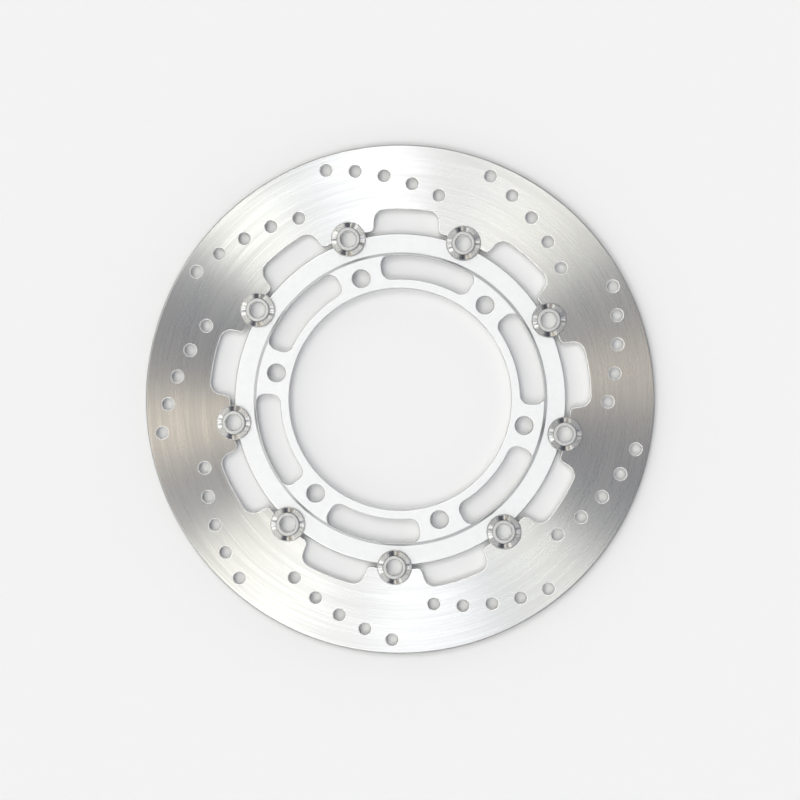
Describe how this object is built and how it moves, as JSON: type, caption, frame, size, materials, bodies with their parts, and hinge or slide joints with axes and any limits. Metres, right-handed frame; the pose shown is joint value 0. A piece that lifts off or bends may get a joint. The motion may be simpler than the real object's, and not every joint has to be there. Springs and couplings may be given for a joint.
{
  "type": "brake disc rotor",
  "caption": "Floating motorcycle brake disc: a drilled steel friction ring that hollow drive buttons join to a slotted aluminium carrier with a circle of bolt holes.",
  "frame": {"origin": "on the disc's axis, in the plane of the carrier's mounting face, which is the lowest plane", "axes": "+Z along the axis, out of the front face with the washers; +Y through the first drive button and the first bolt hole"},
  "size_m": [0.298, 0.298, 0.0102],
  "materials": {
    "friction_ring": "stainless steel, ground in fine circles round the axis",
    "carrier": "machined aluminium with a pale silver satin anodised skin",
    "button": "bright turned steel, polished on the rolled collar",
    "flat_washer": "bright stamped stainless steel",
    "wave_washer": "spring steel with a smooth rolled surface"
  },
  "bodies": {
    "carrier": {"carrier": "carrier"},
    "friction_ring": {"friction_ring": "friction_ring"},
    "button_1": {"button_1": "button", "flat_washer_1": "flat_washer", "wave_washer_1": "wave_washer"},
    "button_2": {"button_2": "button", "flat_washer_2": "flat_washer", "wave_washer_2": "wave_washer"},
    "button_3": {"button_3": "button", "flat_washer_3": "flat_washer", "wave_washer_3": "wave_washer"},
    "button_4": {"button_4": "button", "flat_washer_4": "flat_washer", "wave_washer_4": "wave_washer"},
    "button_5": {"button_5": "button", "flat_washer_5": "flat_washer", "wave_washer_5": "wave_washer"},
    "button_6": {"button_6": "button", "flat_washer_6": "flat_washer", "wave_washer_6": "wave_washer"},
    "button_7": {"button_7": "button", "flat_washer_7": "flat_washer", "wave_washer_7": "wave_washer"},
    "button_8": {"button_8": "button", "flat_washer_8": "flat_washer", "wave_washer_8": "wave_washer"},
    "button_9": {"button_9": "button", "flat_washer_9": "flat_washer", "wave_washer_9": "wave_washer"}
  },
  "joints": [
    {"name": "ring_float", "type": "slide", "parent": "carrier", "child": "friction_ring", "axis": [0, 0, 1], "range_m": [-0.0002, 0.0002], "stiffness_N_per_m": 100000},
    {"name": "button_1_spin", "type": "hinge", "parent": "carrier", "child": "button_1", "pos_m": [0, 0.0984, 0.0045], "axis": [0, 0, 1], "continuous": true},
    {"name": "button_2_spin", "type": "hinge", "parent": "carrier", "child": "button_2", "pos_m": [-0.06325, 0.07538, 0.0045], "axis": [0, 0, 1], "continuous": true},
    {"name": "button_3_spin", "type": "hinge", "parent": "carrier", "child": "button_3", "pos_m": [-0.09691, 0.01709, 0.0045], "axis": [0, 0, 1], "continuous": true},
    {"name": "button_4_spin", "type": "hinge", "parent": "carrier", "child": "button_4", "pos_m": [-0.08522, -0.0492, 0.0045], "axis": [0, 0, 1], "continuous": true},
    {"name": "button_5_spin", "type": "hinge", "parent": "carrier", "child": "button_5", "pos_m": [-0.03365, -0.09247, 0.0045], "axis": [0, 0, 1], "continuous": true},
    {"name": "button_6_spin", "type": "hinge", "parent": "carrier", "child": "button_6", "pos_m": [0.03365, -0.09247, 0.0045], "axis": [0, 0, 1], "continuous": true},
    {"name": "button_7_spin", "type": "hinge", "parent": "carrier", "child": "button_7", "pos_m": [0.08522, -0.0492, 0.0045], "axis": [0, 0, 1], "continuous": true},
    {"name": "button_8_spin", "type": "hinge", "parent": "carrier", "child": "button_8", "pos_m": [0.09691, 0.01709, 0.0045], "axis": [0, 0, 1], "continuous": true},
    {"name": "button_9_spin", "type": "hinge", "parent": "carrier", "child": "button_9", "pos_m": [0.06325, 0.07538, 0.0045], "axis": [0, 0, 1], "continuous": true}
  ]
}
